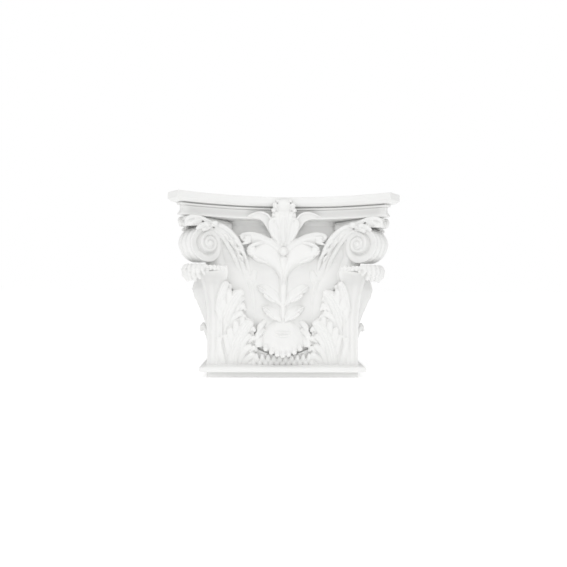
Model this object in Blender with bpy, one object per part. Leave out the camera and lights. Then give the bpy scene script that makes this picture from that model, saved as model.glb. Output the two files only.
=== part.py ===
# Corinthian capital for a pilaster: one casting with a flat back.
# Front is -Y, the wall plane is +Y, the underside stands on z = 0.

import bpy
import bmesh
import numpy as np
from math import cos, sin, pi, sqrt, hypot

# Overall sizes, in metres
ABACUS_WIDTH = 0.310
CAPITAL_HEIGHT = 0.253
CAPITAL_DEPTH = 0.110

# Abacus: square plan with hollowed sides and cut corners, seen here as its front half
HORN_CHAMFER = 0.0172
ABACUS_HOLLOW = 0.040
FASCIA_HEIGHT = 0.008
OVOLO_HEIGHT = 0.0068
OVOLO_INSET = 0.0065
GROOVE_DEPTH = 0.003
GROOVE_HEIGHT = 0.0012
BEAD_FILLET_HEIGHT = 0.0025
BEAD_FILLET_INSET = 0.0076
CAVETTO_HEIGHT = 0.010
CAVETTO_INSET = 0.0108
CAVETTO_DEPTH = 0.0035

# Foot: a fillet that fits the pilaster, and the rounded plate above it
FILLET_WIDTH = 0.214
FILLET_HEIGHT = 0.009
PLATE_WIDTH = 0.2326
PLATE_HEIGHT = 0.008
PLATE_ROUNDING = 0.0022

# Bell behind the carving, and the width across the feet of the corner leaves
BELL_WIDTH = 0.188
BELL_CORNER_RADIUS = 0.022
BELL_TOP_HOLLOW = 0.005
CARVED_WIDTH = 0.211

# How finely the carving is cut
CARVING_GRAIN = 0.0020
CARVING_FACES = 8300
ARC_STEPS = 12

# The carving is drawn in millimetres on a field 211 wide that runs from height 17 to 223.5.
# It keeps its shares of the field when the field changes.
FIELD_HALF_WIDTH = 105.5
FIELD_BOTTOM = 17.0
FIELD_TOP = 223.5

PLATE_TOP = FILLET_HEIGHT + PLATE_HEIGHT
ABACUS_HEIGHT = (FASCIA_HEIGHT + OVOLO_HEIGHT + 2 * GROOVE_HEIGHT + BEAD_FILLET_HEIGHT + CAVETTO_HEIGHT)
ABACUS_BOTTOM = CAPITAL_HEIGHT - ABACUS_HEIGHT

# Distance from the axis of the whole capital, of which this is the front slice, to its front and wall
FRONT_REACH = ABACUS_WIDTH / 2
WALL_REACH = FRONT_REACH - CAPITAL_DEPTH
OVERRUN = 0.012


def clear_scene():
    for thing in list(bpy.data.objects):
        bpy.data.objects.remove(thing, do_unlink=True)


def to_world(x, reach, z):
    # reach is the distance in front of the axis of the whole capital
    return (x, FRONT_REACH - CAPITAL_DEPTH / 2 - reach, z)


def from_drawing(points):
    # points on the carving's drawing are (x, reach, z)
    points = np.asarray(points, float)
    across = CARVED_WIDTH / 2 / FIELD_HALF_WIDTH
    up = (ABACUS_BOTTOM - PLATE_TOP) / (FIELD_TOP - FIELD_BOTTOM)
    placed = np.empty_like(points)
    placed[:, 0] = points[:, 0] * across
    placed[:, 1] = FRONT_REACH - CAPITAL_DEPTH / 2 - points[:, 1] * across
    placed[:, 2] = PLATE_TOP + (points[:, 2] - FIELD_BOTTOM) * up
    return placed


# Shapes on the drawing: each is a closed solid, kept as (points, faces)

def smooth_run(stations, steps):
    # a smooth line through the stations, whatever numbers each station holds
    stations = np.asarray(stations, float)
    padded = np.vstack([2 * stations[0] - stations[1], stations, 2 * stations[-1] - stations[-2]])
    run = []
    spans = len(stations) - 1
    for step in range(steps + 1):
        place = min(step / steps * spans, spans - 1e-9)
        i = int(place)
        t = place - i
        a, b, c, d = padded[i], padded[i + 1], padded[i + 2], padded[i + 3]
        run.append(0.5 * (2 * b + (c - a) * t + (2 * a - 5 * b + 4 * c - d) * t * t
                          + (3 * b - a - 3 * c + d) * t ** 3))
    return np.array(run)


def ring_solid(rings, first, last):
    # closed solid from rings of equal length and a point at each end
    count = len(rings[0])
    points = [first] + [p for ring in rings for p in ring] + [last]
    faces = []
    for i in range(count):
        j = (i + 1) % count
        faces.append((0, 1 + j, 1 + i))
        for r in range(len(rings) - 1):
            a = 1 + r * count
            faces.append((a + i, a + j, a + count + j, a + count + i))
        a = 1 + (len(rings) - 1) * count
        faces.append((a + i, a + j, len(points) - 1))
    return np.array(points), faces


def facing_at(x, reach):
    # the carving looks forward on the face and turns to the diagonal at the corner
    turn = min(max((x - 78) / 40, 0), 1)
    side = turn * turn * (3 - 2 * turn)
    return np.array([side, 1.0, 0.0]) / hypot(side, 1)


def strap(stations, sides=8, steps=12, facing=None, gouge=0.0):
    # a lobe or stem: stations are (x, z, reach, half width, half thickness)
    run = smooth_run(stations, steps)
    path = run[:, [0, 2, 1]]
    widths = np.maximum(run[:, 3], 0.3)
    depths = np.maximum(run[:, 4], 0.3)
    rings = []
    for i, centre in enumerate(path):
        along = path[min(i + 1, steps)] - path[max(i - 1, 0)]
        along /= np.linalg.norm(along)
        out = facing_at(centre[0], centre[1]) if facing is None else np.array(facing, float)
        side = np.cross(along, out)
        side /= np.linalg.norm(side)
        out = np.cross(side, along)
        ring = []
        for k in range(sides):
            turn = 2 * pi * k / sides
            lift = sin(turn)
            if lift > 0:
                lift *= 1 - gouge * max(0, 1 - (cos(turn) / 0.75) ** 2)
            ring.append(centre + side * widths[i] * cos(turn) + out * depths[i] * lift)
        rings.append(ring)
    lead = (path[0] - path[1]) / np.linalg.norm(path[0] - path[1]) * min(widths[0], depths[0]) * 0.6
    tail = (path[-1] - path[-2]) / np.linalg.norm(path[-1] - path[-2]) * min(widths[-1], depths[-1]) * 0.6
    return ring_solid(rings, path[0] + lead, path[-1] + tail)


def bead(x, z, reach, half_x, half_z, half_reach, sides=10, rows=6):
    rings = []
    for r in range(1, rows):
        polar = pi * r / rows
        ring = []
        for k in range(sides):
            turn = 2 * pi * k / sides
            ring.append(np.array([x + half_x * sin(polar) * cos(turn),
                                  reach + half_reach * sin(polar) * sin(turn),
                                  z + half_z * cos(polar)]))
        rings.append(ring)
    return ring_solid(rings, np.array([x, reach, z + half_z]), np.array([x, reach, z - half_z]))


def shell(outer, inner):
    # closed leaf between an outer and an inner grid of points
    rows, columns = outer.shape[:2]
    points = np.vstack([outer.reshape(-1, 3), inner.reshape(-1, 3)])
    back = rows * columns
    faces = []
    for r in range(rows - 1):
        for c in range(columns - 1):
            a = r * columns + c
            faces.append((a, a + 1, a + columns + 1, a + columns))
            faces.append((back + a, back + a + columns, back + a + columns + 1, back + a + 1))
    rim = [(0, c) for c in range(columns)] + [(r, columns - 1) for r in range(1, rows)]
    rim += [(rows - 1, c) for c in range(columns - 2, -1, -1)] + [(r, 0) for r in range(rows - 2, 0, -1)]
    for i, (r, c) in enumerate(rim):
        nr, nc = rim[(i + 1) % len(rim)]
        a, b = r * columns + c, nr * columns + nc
        faces.append((b, a, back + a, back + b))
    return points, faces


def other_side(solid):
    # the same shape on the neighbouring face, across the capital's diagonal
    points, faces = solid
    return points[:, [1, 0, 2]], faces


def mirrored(solid):
    points, faces = solid
    return points * np.array([-1, 1, 1]), faces


# Parts of the carving, for the right half

def centre_stem():
    stem = strap([(0, 76, 94, 1.8, 2), (0, 95, 94, 2.6, 4), (0, 130, 94, 4.4, 5.5),
                  (0, 152, 94, 5.8, 6), (0, 171, 94, 5.0, 6)])
    bud = bead(0, 177.5, 96, 5.7, 6.2, 7)
    return [stem, bud]


def stem_leaves():
    upper = strap([(2, 128, 94, 1.5, 3), (8, 148, 97, 4.5, 5.5), (20, 168, 98, 10, 7),
                   (35, 177, 99, 10.5, 7.5), (50, 179, 98, 4, 4)], gouge=0.2)
    upper_roll = strap([(5, 136, 96, 1.5, 3), (12, 152, 100, 2.8, 4), (26, 162, 103, 3.6, 5),
                        (38, 167, 103, 3.4, 5), (49, 175, 101, 1.5, 3)])
    back_leaf = strap([(2, 168, 92, 4, 6), (14, 183, 95, 8, 8), (30, 194, 97, 9, 8.5),
                       (46, 197, 99, 8, 7.5), (63, 201, 100, 3, 4)], gouge=0.15)
    middle = strap([(3, 103, 94, 1.5, 3), (13, 112, 96, 4.5, 4.5), (24, 120, 97, 4.4, 4.5),
                    (34, 125, 95, 1.5, 3)])
    lower = strap([(2, 79, 94, 1.2, 3), (11, 85, 96, 3.6, 4), (20, 91, 97, 3.6, 4), (28, 95, 95, 1.2, 3)])
    return [upper, upper_roll, back_leaf, middle, lower]


def stalk():
    # fluted stalk from which the volute springs, with its open calyx
    post = strap([(42, 70, 92, 5.5, 3), (43, 95, 92, 6, 4.5), (45, 120, 92, 6, 5), (50, 140, 93, 7, 5)])
    calyx = [strap([(50, 128, 93, 3, 4), (foot, 138, 95, 4.5, 5), (foot + lean, 149, 98, 2.5, 3)])
             for foot, lean in ((47, -5), (55, 1), (64, 6))]
    return [post] + calyx


def volute_stem():
    lower = strap([(53, 142, 93, 4, 4), (60, 163, 95, 5, 5), (72, 183, 99, 5.5, 6),
                   (84, 200, 105, 5.5, 7), (97, 210, 114, 5, 7)])
    upper = strap([(46, 160, 93, 3.5, 4), (56, 184, 96, 5, 6), (68, 199, 102, 5.5, 7),
                   (83, 211, 109, 5.5, 7), (96, 215, 116, 5, 6)])
    filling = strap([(52, 150, 91, 7, 4), (66, 184, 93, 9, 6), (86, 206, 102, 9, 8),
                     (100, 210, 112, 9, 8)])
    return [lower, upper, filling]


# Corner volute: drum whose axis crosses the diagonal, in the drawing's units
VOLUTE_CENTRE = 163.5 / sqrt(2)
VOLUTE_HEIGHT = 185.0
VOLUTE_RADIUS = 23.0
VOLUTE_HALF_INNER = 17.5
VOLUTE_HALF_OUTER = 14.5
VOLUTE_TURNS = 1.7


def spiral_lift(radius, turn):
    # raised spiral band on the volute's face, from the rim in to the eye
    share = radius / VOLUTE_RADIUS
    if share < 0.16:
        return 2.0
    wraps = VOLUTE_TURNS * (1 - (share - 0.16) / 0.84)
    phase = (wraps + turn / (2 * pi) + 0.25) % 1.0
    valley = max(0.0, 1 - abs(phase - 0.62) / 0.30)
    return -4.6 * valley * min(1, (1 - share) * 6)


def volute():
    sides, rows = 36, 9
    rings = []
    shares = [0.14, 0.24, 0.34, 0.44, 0.54, 0.64, 0.74, 0.84, 0.92, 0.98]
    def ring_at(radius, half_of, lift_of):
        ring = []
        for k in range(sides):
            turn = 2 * pi * k / sides
            along = radius * cos(turn)
            half = half_of(along) + lift_of(radius, turn)
            ring.append((along, half, radius * sin(turn)))
        return ring
    def half_at(along):
        share = (along + VOLUTE_RADIUS) / (2 * VOLUTE_RADIUS)
        return VOLUTE_HALF_INNER + (VOLUTE_HALF_OUTER - VOLUTE_HALF_INNER) * share
    for share in shares:
        rings.append(ring_at(VOLUTE_RADIUS * share, half_at, spiral_lift))
    for row in range(rows + 1):
        across = 1 - 2 * row / rows
        hollow = 2.6 * (1 - across ** 2) + 0.8 * (abs(across) > 0.99)
        ring = []
        for k in range(sides):
            turn = 2 * pi * k / sides
            radius = VOLUTE_RADIUS - hollow
            along = radius * cos(turn)
            ring.append((along, half_at(along) * across * 0.97, radius * sin(turn)))
        rings.append(ring)
    for share in reversed(shares):
        ring = ring_at(VOLUTE_RADIUS * share, half_at, spiral_lift)
        rings.append([(along, -across, up) for along, across, up in ring])
    half = half_at(0) + 2.0
    turned = []
    for ring in [[(0, half, 0)]] + rings + [[(0, -half, 0)]]:
        turned.append([np.array([VOLUTE_CENTRE + (along - across) / sqrt(2),
                                 VOLUTE_CENTRE + (along + across) / sqrt(2),
                                 VOLUTE_HEIGHT + up]) for along, across, up in ring])
    return [ring_solid(turned[1:-1], turned[0][0], turned[-1][0])]


def horn_leaf():
    # leaf that lies over the volute, under the horn of the abacus, on the diagonal
    spine = [(88, 208, 88, 14, 8), (104, 213, 104, 15, 6), (118, 216, 118, 12, 6),
             (129, 217, 129, 8, 5), (134, 213, 134, 4, 4)]
    leaf = strap([(x, z, r, w, h) for x, z, r, w, h in spine], facing=(0, 0, 1), sides=10)
    bunch = [bead(96, 213.5, 119, 6, 5, 6), bead(105, 211.5, 127, 5, 4, 5), bead(114, 212, 134, 5, 4, 5)]
    root = strap([(84, 128, 84, 20, 14), (94, 150, 94, 18, 15), (100, 172, 100, 15, 14),
                  (98, 204, 98, 15, 14)], facing=(1, 1, 0))
    return [leaf, root] + bunch + [other_side(b) for b in bunch]


def corner_leaf_blade():
    # big leaf on the corner: midrib on the diagonal, head rolled outward and over
    # rows are (height, reach on the diagonal, x and reach of the blade's inner edge, hollow, thickness)
    rows = [(14, 105.4, 62, 99, 0.0, 26), (45, 104.8, 66, 102, 1.5, 26), (75, 104.6, 70, 106, 2.5, 26),
            (96, 105.0, 74, 111, 3.5, 26), (112, 106.0, 77, 116, 3.5, 24), (124, 107.5, 78, 121, 4.0, 17),
            (136, 111.5, 77, 124.5, 4.0, 10), (147, 119.0, 76, 127, 3.0, 7.5), (154, 128.0, 78, 129, 1.5, 7),
            (157, 135.0, 84, 131, 0.0, 6), (152, 139.0, 92, 133, 0.0, 6), (143, 139.0, 100, 133, 0.0, 6)]
    rows = smooth_run(rows, 24)
    outer, inner = [], []
    for z, rib, edge_x, edge_reach, hollow, thick in rows:
        line, back = [], []
        for c in range(9):
            t = c / 8
            x = rib + (edge_x - rib) * t
            reach = rib + (edge_reach - rib) * t - hollow * sin(pi * t) + 2.0 * (t < 0.06)
            line.append((x, reach, z))
            back.append((x - thick * 0.71 * (1 - t), reach - thick * (0.71 + 0.25 * t), z - 2.0 * (z > 130)))
        outer.append(line)
        inner.append(back)
    return [shell(np.array(outer), np.array(inner))]


def corner_leaf_head():
    # lobes that hang from the rolled head
    lobes = []
    for spread, drop in ((0, 20), (11, 17), (22, 13)):
        x, reach = 134 - spread * 1.05, 134 - spread * 0.12
        lobes.append(strap([(x - 8, 155, reach - 8, 5, 4), (x, 156.5, reach, 5.5, 4.5),
                            (x + 2.5, 148, reach + 2.5, 5.5, 4.5),
                            (x, 156 - drop, reach, 3.5, 3)], facing=(0.5, 1, 0.1)))
    return lobes


def corner_leaf_tiers():
    # three tiers of lobes on each side of the corner leaf; each lobe swings out from the blade
    tiers = [
        [(78, 18, 96, 7, 6), (66, 45, 101, 11, 6), (52, 70, 105, 8, 6), (39, 82, 106, 3, 4)],
        [(70, 18, 95, 6, 6), (60, 36, 100, 6, 6), (49, 52, 104, 5, 5), (41, 64, 105, 3, 4)],
        [(66, 17, 95, 6, 6), (56, 28, 99, 6, 5), (46, 40, 102, 4.5, 5), (39, 48, 102, 2.5, 3.5)],
        [(62, 17, 95, 6, 6), (52, 21, 98, 5, 5), (43, 27, 100, 4, 5), (38, 32, 100, 2.5, 3)],
        [(82, 60, 99, 6, 6), (74, 85, 104, 9, 6), (63, 110, 109, 8, 6), (53, 124, 112, 3, 4)],
        [(74, 70, 99, 5, 6), (67, 88, 104, 6, 6), (60, 101, 108, 5, 5), (55, 110, 110, 2.5, 4)],
        [(72, 64, 99, 5, 6), (66, 76, 103, 5, 5), (60, 86, 106, 4.5, 5), (57, 95, 107, 2.5, 3.5)],
        [(86, 92, 104, 6, 6), (82, 112, 111, 7, 6), (77, 126, 117, 6, 5), (72, 135, 118, 3, 4)],
        [(84, 90, 103, 5, 5), (77, 104, 108, 5, 5), (73, 114, 112, 3, 4)],
    ]
    return [strap(lobe, gouge=0.25) for lobe in tiers]


def fleuron():
    # flower at the middle of the abacus: body on the bell, two wings, head over the fascia
    body = strap([(0, 186, 94, 3, 4), (0, 200, 97, 12, 8), (0, 216, 101, 18, 10),
                  (0, 228, 107, 15, 9), (0, 236, 111, 11, 7)], sides=10)
    heart = strap([(0, 196, 99, 4, 6), (0, 214, 106, 8, 8), (0, 231, 112, 8, 7)])
    head = bead(0, 240, 115, 8.5, 7, 8)
    return [body, heart, head]


def fleuron_side():
    wing = strap([(12, 204, 98, 5, 5), (24, 219, 104, 6, 5), (38, 227, 108, 5, 4.5),
                  (52, 224, 104, 2, 3)])
    ear = bead(10, 238, 114, 5, 5, 6)
    petal = strap([(13, 212, 103, 5, 5), (18, 224, 109, 5, 5), (12, 233, 113, 4, 4)])
    return [wing, ear, petal]


# Overturned leaf at the foot of the front
HOOD_HALF_WIDTH = 36.0
HOOD_TOP = 80.0
HOOD_LIP_MIDDLE = 29.0
HOOD_LIP_SIDE = 47.0


def hood():
    rows, columns = 10, 25
    outer, inner = [], []
    for r in range(rows + 1):
        v = r / rows
        line, back = [], []
        for c in range(columns):
            u = -1 + 2 * c / (columns - 1)
            scallop = 1.6 * cos(pi * 9 * u) * v ** 3
            lip = HOOD_LIP_MIDDLE + (HOOD_LIP_SIDE - HOOD_LIP_MIDDLE) * abs(u) ** 1.7 + scallop
            width = HOOD_HALF_WIDTH * (0.55 + 0.45 * sin(pi / 2 * min(1, v * 1.5)))
            z = HOOD_TOP + (lip - HOOD_TOP) * v
            reach = 91 + 34 * sin(pi / 2 * min(1, v * 1.12)) ** 1.5 * (1 - 0.5 * u * u) + scallop * 0.4
            line.append((u * width, reach, z))
            back.append((u * width * 0.9, max(reach - 7, 88), z + 1.0 - 2.0 * v))
        outer.append(line)
        inner.append(back)
    return [shell(np.array(outer), np.array(inner))]


def hood_side():
    # edge lobes of the hood, the small lobes under its lip and the two collar bars
    curls = [bead(33, 72, 99, 4.5, 5, 7), bead(37, 62, 101, 4.5, 5, 8), bead(37, 51, 104, 4.5, 5.5, 9)]
    under = [strap([(x, 16, 93, 4, 5), (x * 1.03, 24, 99, 4.2, 6), (x * 1.05, 31, 101, 2.5, 3.5)])
             for x in (0, 10, 20, 30)]
    bars = [strap([(-10, z, reach, 1, 1), (0, z, reach + 0.3, 1.3, 1.4), (10, z, reach, 1, 1)])
            for z, reach in ((64, 113.5), (59.5, 117.5))]
    return curls + under + bars


def carving():
    face = centre_stem() + fleuron() + hood()
    half = stem_leaves() + fleuron_side() + hood_side()
    sides = stalk() + volute_stem() + corner_leaf_blade() + corner_leaf_head() + corner_leaf_tiers()
    half += sides + [other_side(s) for s in sides] + volute() + horn_leaf()
    return face + half + [mirrored(s) for s in half]


# Bell and mouldings, straight in metres: loops of (x, y, z) stacked into a closed solid

def stacked(loops):
    count = len(loops[0])
    points = [p for loop in loops for p in loop]
    faces = []
    for r in range(len(loops) - 1):
        for i in range(count):
            j = (i + 1) % count
            a = r * count
            faces.append((a + i, a + j, a + count + j, a + count + i))
    faces.append(tuple(range(count)))
    top = (len(loops) - 1) * count
    faces.append(tuple(range(top + count - 1, top - 1, -1)))
    return np.array(points), faces


def bell_loop(half, radius, z):
    back = WALL_REACH - OVERRUN
    loop = [to_world(half, back, z)]
    for k in range(7):
        turn = pi / 2 * k / 6
        loop.append(to_world(half - radius + radius * cos(turn), half - radius + radius * sin(turn), z))
    return loop + [(-x, y, z) for x, y, z in reversed(loop)]


def bell():
    half = BELL_WIDTH / 2
    low, high = PLATE_TOP - 0.004, ABACUS_BOTTOM + 0.004
    loops = [bell_loop(half + 0.001, BELL_CORNER_RADIUS, low)]
    for share in (0.2, 0.4, 0.6, 0.8):
        loops.append(bell_loop(half, BELL_CORNER_RADIUS, low + (high - low) * share))
    loops.append(bell_loop(half - BELL_TOP_HOLLOW, BELL_CORNER_RADIUS, high - 0.014))
    loops.append(bell_loop(half - BELL_TOP_HOLLOW, BELL_CORNER_RADIUS, high))
    return stacked(loops)


def abacus_loop(inset, z):
    # front and side follow one arc each; the horn is cut square to the diagonal
    corner = ABACUS_WIDTH / 2
    inner = corner - HORN_CHAMFER
    middle = corner - ABACUS_HOLLOW
    radius = (inner ** 2 + ABACUS_HOLLOW ** 2) / (2 * ABACUS_HOLLOW)
    reach = radius + inset
    diagonal = corner + inner - inset * sqrt(2)

    def on_arc(x):
        return middle + radius - sqrt(reach ** 2 - x ** 2)

    low, high = 0.0, corner
    for _ in range(50):
        x = (low + high) / 2
        if x + on_arc(x) < diagonal:
            low = x
        else:
            high = x
    back = WALL_REACH - OVERRUN
    steps = ARC_STEPS
    side = [(on_arc(back + (x - back) * k / (steps // 2)), back + (x - back) * k / (steps // 2))
            for k in range(steps // 2 + 1)]
    front = [(x - x * k / steps, on_arc(x - x * k / steps)) for k in range(steps + 1)]
    half = side + front
    loop = [to_world(px, pr, z) for px, pr in half]
    return loop + [(-px, py, pz) for px, py, pz in reversed(loop[:-1])]


def abacus():
    z = CAPITAL_HEIGHT
    profile = [(0.0, z)]
    z -= FASCIA_HEIGHT
    profile.append((0.0, z))
    for k in (1, 2, 3):
        turn = pi / 2 * k / 3
        profile.append((OVOLO_INSET * (1 - cos(turn)), z - OVOLO_HEIGHT * sin(turn)))
    z -= OVOLO_HEIGHT
    groove = BEAD_FILLET_INSET + GROOVE_DEPTH
    profile += [(groove, z), (groove, z - GROOVE_HEIGHT)]
    z -= GROOVE_HEIGHT
    profile += [(BEAD_FILLET_INSET, z), (BEAD_FILLET_INSET, z - BEAD_FILLET_HEIGHT)]
    z -= BEAD_FILLET_HEIGHT
    profile += [(groove + 0.001, z), (groove + 0.001, z - GROOVE_HEIGHT)]
    z -= GROOVE_HEIGHT
    for k in range(4):
        turn = pi / 2 * k / 3
        profile.append((CAVETTO_INSET + CAVETTO_DEPTH * (1 - sin(turn)), z - CAVETTO_HEIGHT * (1 - cos(turn))))
    return stacked([abacus_loop(inset, height) for inset, height in profile])


def foot_loop(half, z):
    back = WALL_REACH - OVERRUN
    return [to_world(half, back, z), to_world(half, half, z), to_world(-half, half, z), to_world(-half, back, z)]


def foot():
    fillet, plate = FILLET_WIDTH / 2, PLATE_WIDTH / 2
    soft = PLATE_ROUNDING
    profile = [(fillet, 0.0), (fillet, FILLET_HEIGHT), (plate - soft, FILLET_HEIGHT),
               (plate, FILLET_HEIGHT + soft), (plate, PLATE_TOP - soft), (plate - soft, PLATE_TOP)]
    return stacked([foot_loop(half, z) for half, z in profile])


# Solids to Blender objects

def add_object(name, solids):
    form = bmesh.new()
    for points, faces in solids:
        verts = [form.verts.new(p) for p in points]
        for face in faces:
            form.faces.new([verts[i] for i in face])
    bmesh.ops.recalc_face_normals(form, faces=form.faces)
    mesh = bpy.data.meshes.new(name)
    form.to_mesh(mesh)
    form.free()
    thing = bpy.data.objects.new(name, mesh)
    bpy.context.scene.collection.objects.link(thing)
    return thing


def settle(thing):
    # keep what the modifiers made and drop the modifiers
    graph = bpy.context.evaluated_depsgraph_get()
    mesh = bpy.data.meshes.new_from_object(thing.evaluated_get(graph))
    thing.modifiers.clear()
    thing.data = mesh


def drop_bubbles(mesh):
    # hollows shut in between the carving and the bell are cast solid: only the outer skin stays
    form = bmesh.new()
    form.from_mesh(mesh)
    left = set(form.verts)
    skins = []
    while left:
        skin, edge = set(), [left.pop()]
        while edge:
            vert = edge.pop()
            skin.add(vert)
            for link in vert.link_edges:
                other = link.other_vert(vert)
                if other in left:
                    left.discard(other)
                    edge.append(other)
        skins.append(skin)
    largest = max(skins, key=len)
    spare = [v for skin in skins if skin is not largest for v in skin]
    bmesh.ops.delete(form, geom=spare, context="VERTS")
    form.to_mesh(mesh)
    form.free()


def carve():
    # the carving and the bell grow into one skin, then lose the faces they don't need
    solids = [(from_drawing(points), faces) for points, faces in carving()]
    body = add_object("pilaster_capital", solids + [bell()])
    grow = body.modifiers.new("grow together", "REMESH")
    grow.mode = "VOXEL"
    grow.voxel_size = CARVING_GRAIN
    soften = body.modifiers.new("soften", "SMOOTH")
    soften.factor = 0.4
    soften.iterations = 1
    settle(body)
    drop_bubbles(body.data)
    triangles = sum(len(f.vertices) - 2 for f in body.data.polygons)
    thin = body.modifiers.new("thin out", "DECIMATE")
    thin.ratio = CARVING_FACES / triangles
    thin.use_collapse_triangulate = True
    settle(body)
    return body


def wall_block():
    deep, wide, tall = 0.06, ABACUS_WIDTH * 1.2, CAPITAL_HEIGHT * 1.2
    y = CAPITAL_DEPTH / 2
    low, high = -tall * 0.1, tall
    loops = [[(wide, y, z), (wide, y + deep, z), (-wide, y + deep, z), (-wide, y, z)] for z in (low, high)]
    return stacked(loops)


def combine(body, cutter, operation):
    cut = body.modifiers.new(operation.lower(), "BOOLEAN")
    cut.operation = operation
    cut.object = cutter
    settle(body)
    drop_bubbles(body.data)
    bpy.data.objects.remove(cutter, do_unlink=True)


def cast_white():
    material = bpy.data.materials.new("cast_white")
    material.use_nodes = True
    shader = material.node_tree.nodes["Principled BSDF"]
    shader.inputs["Base Color"].default_value = (0.88, 0.88, 0.87, 1)
    shader.inputs["Roughness"].default_value = 0.6
    shader.inputs["Metallic"].default_value = 0.0
    return material


def build():
    clear_scene()
    body = carve()
    combine(body, add_object("abacus", [abacus()]), "UNION")
    combine(body, add_object("foot", [foot()]), "UNION")
    combine(body, add_object("wall", [wall_block()]), "DIFFERENCE")
    body.data.materials.clear()
    body.data.materials.append(cast_white())


build()
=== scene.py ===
# A plaster-white corinthian capital for a pilaster, dressed from its CAD solid.
# The carving is drawn in millimetres: x from the centre line, z from the underside,
# and reach, the distance in front of the axis of the whole capital. The wall plane is at reach 45.

from math import cos, sin, pi, sqrt, radians

import bpy
import bmesh
import numpy as np
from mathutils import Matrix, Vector


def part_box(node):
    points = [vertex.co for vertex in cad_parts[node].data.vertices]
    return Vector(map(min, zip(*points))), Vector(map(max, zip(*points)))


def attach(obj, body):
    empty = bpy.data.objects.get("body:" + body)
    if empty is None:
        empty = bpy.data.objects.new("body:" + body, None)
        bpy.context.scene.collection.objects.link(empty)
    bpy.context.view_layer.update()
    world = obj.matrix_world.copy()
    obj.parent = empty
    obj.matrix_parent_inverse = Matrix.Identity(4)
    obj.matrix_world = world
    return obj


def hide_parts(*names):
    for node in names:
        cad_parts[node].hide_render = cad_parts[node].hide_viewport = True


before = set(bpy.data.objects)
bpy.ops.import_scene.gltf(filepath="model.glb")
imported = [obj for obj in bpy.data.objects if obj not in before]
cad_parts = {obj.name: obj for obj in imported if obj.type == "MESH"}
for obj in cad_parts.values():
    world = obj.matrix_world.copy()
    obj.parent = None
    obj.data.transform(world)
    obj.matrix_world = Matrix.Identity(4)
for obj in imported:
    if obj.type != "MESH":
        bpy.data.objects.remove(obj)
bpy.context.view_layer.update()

boxLow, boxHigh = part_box("pilaster_capital")

drawn = {"width": 310.0, "depth": 110.0, "height": 253.0, "wallReach": 45.0}
perX = (boxHigh.x - boxLow.x) / drawn["width"]
perY = (boxHigh.y - boxLow.y) / drawn["depth"]
perZ = (boxHigh.z - boxLow.z) / drawn["height"]

mesh = {
    "grain": 0.00072,   # voxel that the carving grows together with
    "smoothing": 1,
    "mostTriangles": 185000,
    # millimetres in front of the wall where each is cut, so that no two backs lie in one plane
    "bellClearance": 0.12, "cornerClearance": 0.30,
}


def place(points):
    # drawing to the frame, in metres
    placed = np.empty((len(points), 3))
    placed[:, 0] = points[:, 0] * perX
    placed[:, 1] = boxHigh.y - (points[:, 1] - drawn["wallReach"]) * perY
    placed[:, 2] = boxLow.z + points[:, 2] * perZ
    return placed


# Solids, each kept as (points, faces) on the drawing; a point is (x, reach, z)

def smoothLine(stations, steps):
    # a smooth line through stations of any number of values
    stations = np.asarray(stations, float)
    padded = np.vstack([2 * stations[0] - stations[1], stations, 2 * stations[-1] - stations[-2]])
    places = np.linspace(0, len(stations) - 1, steps + 1)
    index = np.minimum(places.astype(int), len(stations) - 2)
    t = (places - index)[:, None]
    a, b, c, d = (padded[index + k] for k in range(4))
    return 0.5 * (2 * b + (c - a) * t + (2 * a - 5 * b + 4 * c - d) * t ** 2 + (3 * b - a - 3 * c + d) * t ** 3)


def ringSolid(rings, first, last):
    rings = np.asarray(rings, float)
    rows, count = rings.shape[:2]
    points = np.vstack([first, rings.reshape(-1, 3), last])
    faces = []
    for i in range(count):
        j = (i + 1) % count
        faces.append((0, 1 + j, 1 + i))
        for r in range(rows - 1):
            a = 1 + r * count
            faces.append((a + i, a + j, a + count + j, a + count + i))
        a = 1 + (rows - 1) * count
        faces.append((a + i, a + j, len(points) - 1))
    return points, faces


def facingAt(x):
    # forward on the face of the capital, turning to the diagonal at its corner
    turn = min(max((x - 78) / 40, 0), 1)
    side = turn * turn * (3 - 2 * turn)
    return np.array([side, 1.0, 0.0]) / sqrt(side * side + 1)


def lobe(stations, sides=16, steps=26, facing=None, gouge=0.0, flutes=0, fluteDepth=0.5):
    # stem, finger of a leaf or roll: stations are (x, z, reach, half width, half thickness)
    run = smoothLine(stations, steps)
    path = run[:, [0, 2, 1]]
    widths = np.maximum(run[:, 3], 0.25)
    depths = np.maximum(run[:, 4], 0.25)
    turns = 2 * pi * np.arange(sides) / sides
    rings = []
    for i, centre in enumerate(path):
        along = path[min(i + 1, steps)] - path[max(i - 1, 0)]
        along /= np.linalg.norm(along)
        out = facingAt(centre[0]) if facing is None else np.array(facing, float)
        side = np.cross(along, out)
        side /= np.linalg.norm(side)
        out = np.cross(side, along)
        across = np.cos(turns)
        lift = np.sin(turns)
        upper = lift > 0
        hollow = gouge * np.maximum(0, 1 - (across / 0.72) ** 2)
        height = depths[i] * np.where(upper, lift * (1 - hollow), lift)
        if flutes:
            fade = min(1.0, i / steps * 4) * min(1.0, (1 - i / steps) * 5)
            groove = fluteDepth * fade * (0.5 - 0.5 * np.cos(pi * (flutes + 1) * (across + 1)))
            height = height - np.where(upper, groove * np.minimum(1, lift * 2), 0)
        rings.append(centre + np.outer(across * widths[i], side) + np.outer(height, out))
    lead = (path[0] - path[1]) / np.linalg.norm(path[0] - path[1]) * min(widths[0], depths[0]) * 0.6
    tail = (path[-1] - path[-2]) / np.linalg.norm(path[-1] - path[-2]) * min(widths[-1], depths[-1]) * 0.6
    return ringSolid(rings, path[0] + lead, path[-1] + tail)


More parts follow.
